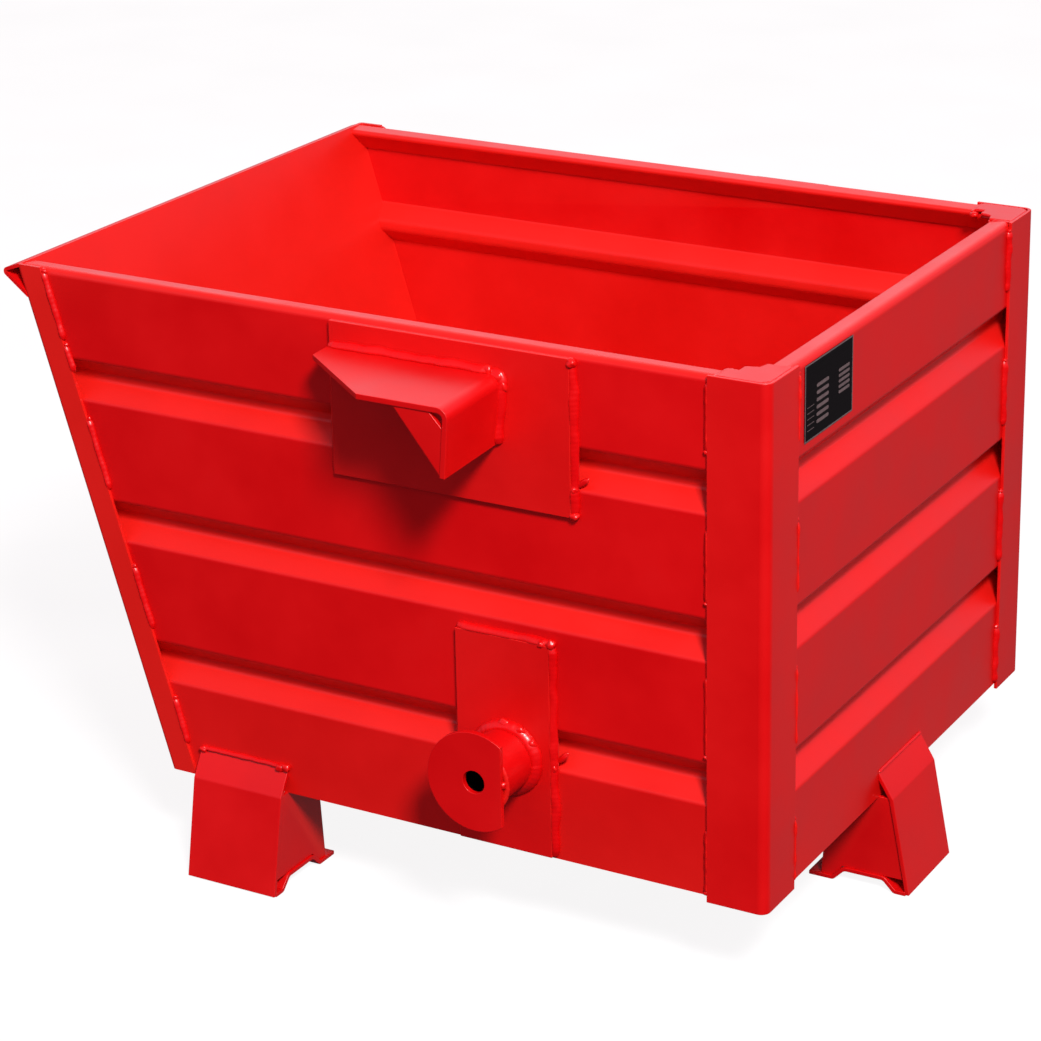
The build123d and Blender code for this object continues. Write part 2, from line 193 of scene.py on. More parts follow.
def painted_bore_shade(tree, place, coat, axis, radius):
    """Mixes near-black painted shade into a coat within a radius of an axis that runs along Y."""
    flat = add_node(tree, "ShaderNodeVectorMath", {"operation": "MULTIPLY", 1: (1, 0, 1)}, {0: place})
    away = add_node(
        tree,
        "ShaderNodeVectorMath",
        {"operation": "DISTANCE", 1: (axis.x, 0, axis.z)},
        {0: flat.outputs["Vector"]},
    )
    inside = add_node(
        tree, "ShaderNodeMath", {"operation": "LESS_THAN", 1: radius}, {0: away.outputs["Value"]}
    )
    # Near-black painted shade within the bore, where its deep inside gets little light
    return add_node(
        tree,
        "ShaderNodeMixRGB",
        {"Color2": linear("#120A0A")},
        {"Color1": coat.outputs["Color"], "Fac": inside.outputs["Value"]},
    )


# Mesh helpers -----------------------------------------------------------------------------------


def finish_piece(name, mesh_data, material, slot, smooth=True):
    """Object made from a bmesh, painted, riding on the skip."""
    bmesh.ops.recalc_face_normals(mesh_data, faces=mesh_data.faces)
    for face in mesh_data.faces:
        face.smooth = smooth
    mesh = bpy.data.meshes.new(name)
    mesh_data.to_mesh(mesh)
    mesh_data.free()
    mesh.materials.append(material)
    piece = bpy.data.objects.new(name, mesh)
    bpy.context.scene.collection.objects.link(piece)
    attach(piece, "root")
    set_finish(piece, slot)
    return piece


def weld_run(made, start, end, along_a, along_b, leg, pitch, seed, lumps=1.0):
    """Fillet weld from start to end in the corner between two faces that run off along_a and along_b."""
    stations = [(Vector(point), Vector(along_a), Vector(along_b)) for point in (start, end)]
    weld_along(made, stations, leg, pitch, seed, lumps=lumps)


def weld_along(made, stations, leg, pitch, seed, closed=False, lumps=1.0):
    """Rippled fillet weld through stations of (corner point, direction on one face, on the other).

    A direction shorter than 1 makes the bead flatter on that face.
    """
    rng = random.Random(seed)
    shift = rng.uniform(0, 100)
    lengths = [0.0]
    for i in range(1, len(stations)):
        lengths.append(lengths[-1] + (stations[i][0] - stations[i - 1][0]).length)
    total = lengths[-1]
    steps = max(8, round(total / (pitch / 4)))
    rings = []
    for step in range(steps + (0 if closed else 1)):
        at = total * step / steps
        i = max(k for k in range(len(lengths) - 1) if lengths[k] <= at + 1e-9)
        part = (at - lengths[i]) / max(lengths[i + 1] - lengths[i], 1e-9)
        corner = stations[i][0].lerp(stations[i + 1][0], part)
        a = stations[i][1].lerp(stations[i + 1][1], part)
        b = stations[i][2].lerp(stations[i + 1][2], part)
        # Ripples lie unevenly, and the bead swells and thins every few centimetres
        phase = (at / pitch + 0.6 * noise.noise(Vector((at / pitch * 0.3, shift, 0)))) % 1.0
        ripple = 0.98 + 0.035 * math.sin(math.pi * phase) ** 0.8
        drift_a = 1 + 0.32 * lumps * noise.noise(Vector((at / (3.1 * leg), shift, 3)))
        drift_b = 1 + 0.32 * lumps * noise.noise(Vector((at / (2.7 * leg), shift, 7)))
        swell = 1 + 0.50 * lumps * noise.noise(Vector((at / (2.2 * leg), shift, 11)))
        taper = 1.0
        if not closed:
            near = min(at, total - at)
            taper = min(1.0, 0.45 + 0.55 * math.sqrt(min(1.0, near / (1.2 * leg))))
        ring = [corner - 0.3 * leg * (a + b)]
        for k in range(9):
            turn = math.pi / 2 * k / 8
            reach_a = leg * drift_a * taper * (math.cos(turn) ** 1.5)
            reach_b = leg * drift_b * taper * (math.sin(turn) ** 1.5)
            crown = 0.10 * leg * ripple * taper * swell * math.sin(2 * turn)
            ring.append(corner + a * (reach_a * ripple + crown) + b * (reach_b * ripple + crown))
        rings.append([made.verts.new(p) for p in ring])
    count = len(rings[0])
    pairs = len(rings) if closed else len(rings) - 1
    for i in range(pairs):
        first, second = rings[i], rings[(i + 1) % len(rings)]
        for k in range(count):
            made.faces.new((first[k], first[(k + 1) % count], second[(k + 1) % count], second[k]))
    if not closed:
        made.faces.new(rings[0])
        made.faces.new(list(reversed(rings[-1])))


def blob(made, centre, radius, seed, squash=(1, 1, 1), lean=0.0):
    """Lumpy drop of weld metal or spatter, squashed and then leant in the side wall's plane."""
    ball = bmesh.ops.create_icosphere(made, subdivisions=3, radius=radius)
    turn = Matrix.Rotation(math.radians(lean), 3, "Y")
    for vert in ball["verts"]:
        lump = 1 + 0.28 * noise.noise(vert.co / radius * 1.3 + Vector((seed * 7.1, seed * 3.3, 0)))
        vert.co = turn @ Vector(vert.co[i] * lump * squash[i] for i in range(3)) + Vector(centre)


def mirror_piece(piece, name):
    """The same piece on the other side of the skip."""
    mesh = piece.data.copy()
    for vert in mesh.vertices:
        vert.co.y = -vert.co.y
    mesh.flip_normals()
    mesh.name = name
    twin = bpy.data.objects.new(name, mesh)
    bpy.context.scene.collection.objects.link(twin)
    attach(twin, "root")
    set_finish(twin, piece["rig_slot"])
    return twin


def node_points(node):
    """Corner points of a model piece."""
    return [Vector(v.co) for v in bpy.data.objects[node].data.vertices]


# Settings ---------------------------------------------------------------------------------------


class SkipPaintSettings(bpy.types.PropertyGroup):
    """Colours and gloss of the enamel"""

    base: FloatVectorProperty(
        name="Enamel",
        description="Colour of the enamel",
        subtype="COLOR",
        size=4,
        default=linear("#DC0204"),
    )
    deep: FloatVectorProperty(
        name="Enamel, thick",
        description="Colour where the coat is thick",
        subtype="COLOR",
        size=4,
        default=linear("#D20104"),
    )
    # Colour of thin spots and flecks, and also of the painted highlight along sharp edges
    thin_coat_and_edge_highlight: FloatVectorProperty(
        name="Enamel, thin",
        description="Colour where the coat is thin",
        subtype="COLOR",
        size=4,
        default=linear("#F02A1E"),
    )
    gloss: FloatProperty(
        name="Gloss", description="Strength of the mirror reflection", default=0.5, min=0, max=1
    )
    edge_radius: FloatProperty(
        name="Edge radius",
        description="Rounding of cut plate edges under the paint",
        default=0.9 * MM,
        unit="LENGTH",
    )


class SkipWeldSettings(bpy.types.PropertyGroup):
    """Sizes of the weld seams"""

    sheet_leg: FloatProperty(
        name="Sheet leg", description="Leg of welds on sheet", default=5 * MM, unit="LENGTH"
    )
    plate_leg: FloatProperty(
        name="Plate leg", description="Leg of welds on plate", default=9 * MM, unit="LENGTH"
    )
    ripple: FloatProperty(name="Ripple", description="Spacing of weld ripples", default=7 * MM, unit="LENGTH")


class SkipPlateSettings(bpy.types.PropertyGroup):
    """Print on the data plate"""

    border: FloatProperty(name="Border", description="Width of the bare edge", default=2 * MM, unit="LENGTH")
    print_rise: FloatProperty(
        name="Print rise", description="Height of the print", default=0.2 * MM, unit="LENGTH"
    )


class SkipStageSettings(bpy.types.PropertyGroup):
    """Floor, lights and camera"""

    key_power: FloatProperty(
        name="Key light", description="Power of the key light", default=870.0, unit="POWER"
    )
    sky: FloatProperty(name="Sky", description="Brightness of the light from all round", default=0.54, min=0)
    backdrop: FloatProperty(
        name="Backdrop", description="Brightness of the light behind the skip", default=0.7, min=0
    )
    card: FloatProperty(
        name="Card", description="Brightness of the low card beyond the rear wall", default=0.13, min=0
    )
    floor_size: FloatProperty(name="Floor", description="Side of the floor", default=80.0, unit="LENGTH")
    floor_glow: FloatProperty(
        name="Floor glow", description="Share of light from under the floor", default=0.88, min=0, max=1
    )


# Operators --------------------------------------------------------------------------------------


def paint_of(name):
    """Material made earlier under this name."""
    return bpy.data.materials[name]


class SKIP_OT_sheet(bpy.types.Operator):
    """Paint the folded sheet of the body"""

    bl_idname = "skip.sheet"
    bl_label = "Paint sheet"

    def execute(self, context):
        paint = context.scene.skip_paint
        # Red alkyd enamel sprayed on cold rolled sheet: even gloss, with the sheet's slight waves
        material = enamel(
            "red_enamel_on_sheet", paint, roughness=0.36, peel_mm=5.0, peel_depth_mm=0.05, wave_depth_mm=1.2
        )
        for node in SHEET_NODES:
            piece = bpy.data.objects[node]
            for slot in piece.material_slots:
                slot.material = material
        return {"FINISHED"}


class SKIP_OT_plate(bpy.types.Operator):
    """Paint the plates, posts, catches, trunnions and feet and round their cut edges"""

    bl_idname = "skip.plate"
    bl_label = "Paint plates"

    def execute(self, context):
        paint = context.scene.skip_paint
        # The same enamel on hot rolled plate: the scale's roughness shows through the coat
        material = enamel(
            "red_enamel_on_plate", paint, roughness=0.38, peel_mm=4.0, peel_depth_mm=0.08, wave_depth_mm=0.6
        )
        for node in PLATE_NODES:
            piece = bpy.data.objects[node]
            for slot in piece.material_slots:
                slot.material = material
            weld = piece.modifiers.new("join", "WELD")
            weld.merge_threshold = 0.01 * MM
            flat = piece.modifiers.new("flat faces", "DECIMATE")
            flat.decimate_type = "DISSOLVE"
            flat.angle_limit = math.radians(0.5)
            edge = piece.modifiers.new("round edges", "BEVEL")
            # The corner plates were ground rounder than the rest
            edge.width = paint.edge_radius * (2.5 if node.startswith("rim_corner_plate") else 1)
            edge.segments = 3
            edge.limit_method = "ANGLE"
            edge.angle_limit = math.radians(35)
            normal = piece.modifiers.new("even shading", "WEIGHTED_NORMAL")
            normal.weight = 50
            normal.keep_sharp = False
        low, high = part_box("trunnion_tube_left")
        bore = ((low + high) / 2, (high.z - low.z) / 2 - 1 * MM)
        # Enamel on the tube's outside, and near-black painted shade in its bore, seen through the hole in the
        # disc
        material = enamel(
            "red_enamel_on_tube",
            paint,
            roughness=0.38,
            peel_mm=4.0,
            peel_depth_mm=0.08,
            wave_depth_mm=0.0,
            bore=bore,
        )
        for side in SIDES:
            for node in ("trunnion_tube_" + side, "trunnion_backing_plate_" + side):
                for slot in bpy.data.objects[node].material_slots:
                    slot.material = material
        return {"FINISHED"}


class SKIP_OT_body_welds(bpy.types.Operator):
    """Weld the pouring sheet and the corner posts to the walls"""

    bl_idname = "skip.body_welds"
    bl_label = "Weld body"

    # Stitch ends above the foot of the corner posts, in millimetres
    chute_stitches = ((733, 636), (629, 591), (523, 422), (310, 219), (116, 49))
    post_stitches = ((728, 636), (530, 428), (324, 211), (104, 12))
    # Width of the folded rim inward from the wall's face
    rim_width = 40 * MM

    def execute(self, context):
        settings = context.scene.skip_welds
        material = paint_of("red_enamel_on_weld")
        post_low, post_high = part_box("corner_post_left")
        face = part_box("catch_backing_plate_left")[1].y
        foot = post_low.z

        made = bmesh.new()
        edge = [p for p in node_points("front_chute") if abs(p.y - face) < 0.1 * MM]
        high = max(edge, key=lambda p: p.z * 10 + p.x)
        low = max(edge, key=lambda p: -p.z * 10 + p.x)
        back = Vector((high.z - low.z, 0, low.x - high.x)).normalized()
        out = Vector((0, -1, 0))
        for seed, (top, bottom) in enumerate(self.chute_stitches):
            ends = [low.lerp(high, (z * MM + foot - low.z) / (high.z - low.z)) for z in (top, bottom)]
            weld_run(
                made, ends[0], ends[1], back, out, 1.25 * settings.sheet_leg, settings.ripple, seed, lumps=0.6
            )
            blob(made, ends[0] + 1.5 * MM * (out + back), 4.2 * MM, seed, (1, 0.7, 1.1))
        blob(made, high + Vector((3, -1, -6)) * MM, 5 * MM, 40, (1.3, 0.7, 1))
        left = finish_piece("weld_chute_left", made, material, "red_paint")
        mirror_piece(left, "weld_chute_right")

        made = bmesh.new()
        rear = post_high.x - (post_low.y - face)
        side_x = post_low.x
        rear_y = post_high.y
        rear_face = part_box("rear_wall")[1].x
        for seed, (top, bottom) in enumerate(self.post_stitches):
            z_top, z_bottom = foot + top * MM, foot + bottom * MM
            weld_run(
                made,
                (side_x, face, z_top),
                (side_x, face, z_bottom),
                (-1, 0, 0),
                (0, -1, 0),
                settings.sheet_leg,
                settings.ripple,
                10 + seed,
            )
            weld_run(
                made,
                (rear_face, rear_y, z_top),
                (rear_face, rear_y, z_bottom),
                (0, 1, 0),
                (1, 0, 0),
                1.35 * settings.sheet_leg,
                settings.ripple,
                20 + seed,
            )
            blob(made, (side_x - 2 * MM, face - 2 * MM, z_bottom), 3.2 * MM, 30 + seed)
            blob(made, (rear_face + 2 * MM, rear_y + 2 * MM, z_top), 3.4 * MM, 34 + seed)
        # Beads over the ends of the folded rims at the corner plate, steeper where the rim falls away
        cap_low, cap_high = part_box("rim_corner_plate_left")
        rim_outer, rim_inner = cap_high.z - 1.5 * MM, cap_high.z - 5 * MM
        x_nose, y_nose = rear - self.rim_width, face + self.rim_width
        flat, steep = Vector((0, 0, 0.2)), Vector((0, 0, 0.8))
        for seed, (start, end, away) in enumerate(
            (
                ((cap_low.x, cap_low.y, rim_outer), (cap_low.x, y_nose, rim_inner), Vector((-1, 0, 0))),
                ((cap_high.x, cap_high.y, rim_outer), (x_nose, cap_high.y, rim_inner), Vector((0, 1, 0))),
            )
        ):
            stations = [(Vector(start), away, flat), (Vector(end), away, steep)]
            weld_along(made, stations, settings.sheet_leg, settings.ripple, 50 + seed, lumps=0.5)
            under = Vector(end) + Vector((0, 0, -3)) * MM - away * 2 * MM
            blob(made, under, 6.5 * MM, 52 + seed, (1.1, 1.1, 0.8))
        left = finish_piece("weld_post_left", made, material, "red_paint")
        mirror_piece(left, "weld_post_right")
        return {"FINISHED"}


class SKIP_OT_catch_welds(bpy.types.Operator):
    """Weld the crane catches and their backing plates"""

    bl_idname = "skip.catch_welds"
    bl_label = "Weld catches"

    def execute(self, context):
        settings = context.scene.skip_welds
        material = paint_of("red_enamel_on_weld")
        leg, pitch = settings.plate_leg, settings.ripple
        low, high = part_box("catch_backing_plate_left")
        wall, face = high.y, low.y
        up, back, out = Vector((0, 0, 1)), Vector((1, 0, 0)), Vector((0, -1, 0))
        top = high.z - 2 * MM
        made = bmesh.new()
        weld_run(made, (high.x, wall, top), (high.x, wall, low.z), back, EDGE_SHARE * out, leg, pitch, 1)
        weld_run(made, (low.x, wall, top), (low.x, wall, low.z), -back, out, leg * 0.6, pitch, 2)
        blob(made, (high.x + 2 * MM, wall - 5 * MM, high.z - 6 * MM), 7 * MM, 3)
        blob(made, (high.x + 3 * MM, wall - 4 * MM, low.z + 38 * MM), 5 * MM, 4)
        blob(made, (high.x + 13 * MM, wall + 1 * MM, low.z + 48 * MM), 4.5 * MM, 5, (2.9, 0.8, 1.0), -38)
        blob(made, (high.x + 3 * MM, wall - 4 * MM, low.z + 2 * MM), 7 * MM, 7, (1.1, 0.9, 0.8))
        low_b, high_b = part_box("catch_bracket_left")
        points = [p for p in node_points("catch_bracket_left") if abs(p.y - face) < 0.1 * MM]
        top_rear = max((p for p in points if p.z > high_b.z - 0.1 * MM), key=lambda p: p.x)
        rear_top = max((p for p in points if p.x > high_b.x - 0.1 * MM), key=lambda p: p.z)
        lowest = min(p.z for p in points)
        foot = max((p for p in points if p.z < lowest + 1 * MM), key=lambda p: p.x)
        weld_run(made, (low_b.x, face, high_b.z), top_rear, up, out, leg, pitch, 8)
        # Round the bend of the bracket and down its leg
        bend = [(top_rear, up, out)]
        centre = Vector((top_rear.x, face, rear_top.z))
        for i in range(1, 7):
            turn = math.pi / 2 * i / 6
            away = Vector((math.sin(turn), 0, math.cos(turn)))
            bend.append((centre + away * (top_rear.z - rear_top.z), away, out))
        bend.append((foot, back, out))
        weld_along(made, bend, leg, pitch, 9)
        for i, (dx, dz, size) in enumerate(((-4, 2, 7), (10, -5, 9), (17, -16, 8))):
            at = (top_rear.x + dx * MM, face - 2 * MM, top_rear.z + dz * MM)
            blob(made, at, size * MM, 60 + i, (1.1, 0.75, 1.1))
        left = finish_piece("weld_catch_left", made, material, "red_paint")
        mirror_piece(left, "weld_catch_right")
        return {"FINISHED"}


class SKIP_OT_trunnion_welds(bpy.types.Operator):
    """Weld the trunnions and their backing plates"""

    bl_idname = "skip.trunnion_welds"
    bl_label = "Weld trunnions"

    def execute(self, context):
        settings = context.scene.skip_welds
        material = paint_of("red_enamel_on_weld")
        leg, pitch = settings.plate_leg, settings.ripple
        low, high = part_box("trunnion_backing_plate_left")
        wall, face = high.y, low.y
        up, back, out = Vector((0, 0, 1)), Vector((1, 0, 0)), Vector((0, -1, 0))
        made = bmesh.new()
        on_edge = EDGE_SHARE * out
        weld_run(made, (low.x, wall, high.z), (high.x, wall, high.z), up, on_edge, leg, pitch, 11)
        weld_run(made, (high.x, wall, high.z), (high.x, wall, low.z), back, on_edge, leg, pitch, 12)
        front_top = high.z - 30 * MM
        weld_run(made, (low.x, wall, front_top), (low.x, wall, low.z), -back, out, leg * 0.5, pitch, 13)
        blob(made, (high.x - 12 * MM, wall - 6 * MM, high.z + 1 * MM), 5 * MM, 14)
        blob(made, (high.x + 2 * MM, wall - 4 * MM, high.z + 2 * MM), 7 * MM, 15, (1.0, 0.8, 1.0))
        blob(made, (high.x + 3 * MM, wall - 4 * MM, low.z + 134 * MM), 5.5 * MM, 16, (0.9, 0.8, 1.2))
        blob(made, (high.x + 15 * MM, wall + 1 * MM, low.z + 150 * MM), 4.5 * MM, 17, (2.4, 0.7, 1.0), -42)
        # Round the tube at both ends
        tube_low, tube_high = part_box("trunnion_tube_left")
        centre = (tube_low + tube_high) / 2
        radius = (tube_high.z - tube_low.z) / 2
        for name, y, axis, size, seed in (
            ("plate", face, out, 1.25 * leg, 18),
            ("disc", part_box("trunnion_disc_left")[1].y, -out, leg * 0.7, 19),
        ):
            ring = []
            for i in range(49):
                turn = math.tau * i / 48
                away = Vector((math.cos(turn), 0, math.sin(turn)))
                ring.append((Vector((centre.x, y, centre.z)) + away * radius, away, axis))
            weld_along(made, ring, size, pitch, seed, closed=True, lumps=0.6)
        for i, degrees in enumerate((36, 62, 92)):
            turn = math.radians(degrees)
            away = Vector((math.cos(turn), 0, math.sin(turn)))
            at = Vector((centre.x, face - 4 * MM, centre.z)) + away * (radius + 4 * MM)
            blob(made, at, 7.5 * MM, 20 + i, (1.2, 0.7, 1.2))
        # Tack between the flat of the disc and the tube
        disc_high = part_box("trunnion_disc_left")[1]
        blob(made, (disc_high.x + 1 * MM, disc_high.y, centre.z + 2 * MM), 5 * MM, 24, (0.8, 1.2, 1.2))
        left = finish_piece("weld_trunnion_left", made, material, "red_paint")
        mirror_piece(left, "weld_trunnion_right")
        return {"FINISHED"}


class SKIP_OT_foot_welds(bpy.types.Operator):
    """Weld the stacking feet"""

    bl_idname = "skip.foot_welds"
    bl_label = "Weld feet"

    def execute(self, context):
        settings = context.scene.skip_welds
        material = paint_of("red_enamel_on_weld")
        leg, pitch = settings.sheet_leg, settings.ripple
        low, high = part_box("foot_plate_left")
        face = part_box("catch_backing_plate_left")[1].y
        up, back, out = Vector((0, 0, 1)), Vector((1, 0, 0)), Vector((0, -1, 0))
        made = bmesh.new()
        weld_run(made, (low.x, face, high.z), (high.x, face, high.z), up, out, leg, pitch, 31, lumps=0.7)
        blob(made, (low.x + 5 * MM, face - 4 * MM, high.z), 5 * MM, 32, (1.3, 0.8, 0.9))
        blob(made, (high.x - 12 * MM, face - 4 * MM, high.z - 1 * MM), 6 * MM, 33, (1.2, 0.8, 1))
        blob(made, (high.x - 2 * MM, face - 4 * MM, high.z + 1 * MM), 6 * MM, 34, (1.2, 0.8, 1))
        left = finish_piece("weld_foot_left", made, material, "red_paint")
        mirror_piece(left, "weld_foot_right")
        low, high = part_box("foot_plate_rear")
        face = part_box("rear_wall")[1].x
        made = bmesh.new()
        ends = [(face, low.y, high.z), (face, high.y, high.z)]
        weld_run(made, *ends, up, back, 0.6 * leg, pitch, 35, lumps=0.4)
        finish_piece("weld_foot_rear", made, material, "red_paint")
        return {"FINISHED"}


class SKIP_OT_weld_paint(bpy.types.Operator):
    """Make the paint of the weld seams"""

    bl_idname = "skip.weld_paint"
    bl_label = "Weld paint"

    def execute(self, context):
        # The same enamel run thick over weld beads: glossier, with no peel of its own
        enamel(
            "red_enamel_on_weld",
            context.scene.skip_paint,
            roughness=0.31,
            peel_mm=3.0,
            peel_depth_mm=0.05,
            wave_depth_mm=0.0,
        )
        return {"FINISHED"}


class SKIP_OT_data_plate(bpy.types.Operator):
    """Finish the data plate and its print"""

    bl_idname = "skip.data_plate"
    bl_label = "Data plate"

    # Print lines as (left, right, height from the top, thickness), as shares of the plate
    lines = [(0.24, 0.49, 0.345 + 0.094 * i, 0.046) for i in range(6)]
    lines += [(0.70, 0.93, 0.345 + 0.072 * i, 0.040) for i in range(5)]
    faint = [(0.05, 0.19, 0.56 + 0.075 * i, 0.007) for i in range(5)]

    def execute(self, context):
        settings = context.scene.skip_plate
        # Black anodised aluminium: smooth and dark, with a soft sheen and fine brush lines
        material, tree = new_material("black_anodised_aluminium")
        place = add_node(tree, "ShaderNodeTexCoord").outputs["Object"]
        stretched = add_node(tree, "ShaderNodeMapping", {"Scale": (1.0, 0.02, 1.0)}, {"Vector": place})
        # Brush lines are about 0.1 mm apart and are drawn 1 mm apart so that they show
        brush = add_node(
            tree,
            "ShaderNodeTexNoise",
            {"Scale": 1 / (1 * MM), "Detail": 3.0},
            {"Vector": stretched.outputs["Vector"]},
        )
        tone = add_node(
            tree,
            "ShaderNodeMixRGB",
            {"Color1": linear("#020203"), "Color2": linear("#070708")},
            {"Fac": brush.outputs["Fac"]},
        )
        sheen = add_node(
            tree,
            "ShaderNodeMapRange",
            {"To Min": 0.35, "To Max": 0.5},
            {"Value": brush.outputs["Fac"]},
        )
        ridge = add_node(
            tree, "ShaderNodeBump", {"Strength": 0.4, "Distance": 0.02 * MM}, {"Height": brush.outputs["Fac"]}
        )
        surface = add_node(
            tree,
            "ShaderNodeBsdfPrincipled",
            {"Metallic": 0.0, "IOR": 1.5, "Specular IOR Level": 0.08},
            {
                "Base Color": tone.outputs["Color"],
                "Roughness": sheen.outputs["Result"],
                "Normal": ridge.outputs["Normal"],
            },
        )
        add_node(tree, "ShaderNodeOutputMaterial", links={"Surface": surface.outputs["BSDF"]})
        for slot in bpy.data.objects["data_plate"].material_slots:
            slot.material = material

        # Bare aluminium of the print and the edge: pale grey, dulled by handling
        bare, tree = new_material("bare_aluminium_print")
        place = add_node(tree, "ShaderNodeTexCoord").outputs["Object"]
        # Smudges about 6 mm wide
        smudge = add_node(
            tree, "ShaderNodeTexNoise", {"Scale": 1 / (6 * MM), "Detail": 4.0}, {"Vector": place}
        )
        tone = add_node(
            tree,
            "ShaderNodeMixRGB",
            {"Color1": linear("#5E5050"), "Color2": linear("#8A7C7A")},
            {"Fac": smudge.outputs["Fac"]},
        )
        dull = add_node(
            tree, "ShaderNodeMapRange", {"To Min": 0.4, "To Max": 0.6}, {"Value": smudge.outputs["Fac"]}
        )
        surface = add_node(
            tree,
            "ShaderNodeBsdfPrincipled",
            {"Metallic": 0.3},
            {"Base Color": tone.outputs["Color"], "Roughness": dull.outputs["Result"]},
        )
        add_node(tree, "ShaderNodeOutputMaterial", links={"Surface": surface.outputs["BSDF"]})

        low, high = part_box("data_plate")
        width, height = high.y - low.y, high.z - low.z
        made = bmesh.new()
        rise = settings.print_rise
        for left, right, top, thick in self.lines + self.faint:
            z = high.z - top * height
            self.bar(made, high.x, low.y + left * width, low.y + right * width, z, thick * height, rise)
        edge = settings.border
        for y in (low.y, high.y - edge):
            self.slab(made, high.x, (y, low.z), (y + edge, high.z), rise)
        for z in (low.z, high.z - edge):
            self.slab(made, high.x, (low.y + edge, z), (high.y - edge, z + edge), rise)
        finish_piece("data_plate_print", made, bare, "data_plate", smooth=False)
        return {"FINISHED"}

    def bar(self, made, x, y_low, y_high, z, thick, rise):
        """Raised print line with round ends."""
        radius = thick / 2
        outline = []
        for centre, start in ((y_high - radius, -90), (y_low + radius, 90)):
            for i in range(7):
                turn = math.radians(start + 30 * i)
                outline.append((centre + radius * math.cos(turn), z + radius * math.sin(turn)))
        self.prism(made, x, outline, rise)

    def slab(self, made, x, low, high, rise):
        """Raised strip with square ends."""
        outline = [low, (high[0], low[1]), high, (low[0], high[1])]
        self.prism(made, x, outline, rise)

    def prism(self, made, x, outline, rise):
        """Closed prism standing on the plate's face."""
        base = [made.verts.new((x - 0.3 * MM, y, z)) for y, z in outline]
        top = [made.verts.new((x + rise, y, z)) for y, z in outline]
        made.faces.new(base)
        made.faces.new(list(reversed(top)))
        for i in range(len(outline)):
            j = (i + 1) % len(outline)
            made.faces.new((base[i], base[j], top[j], top[i]))


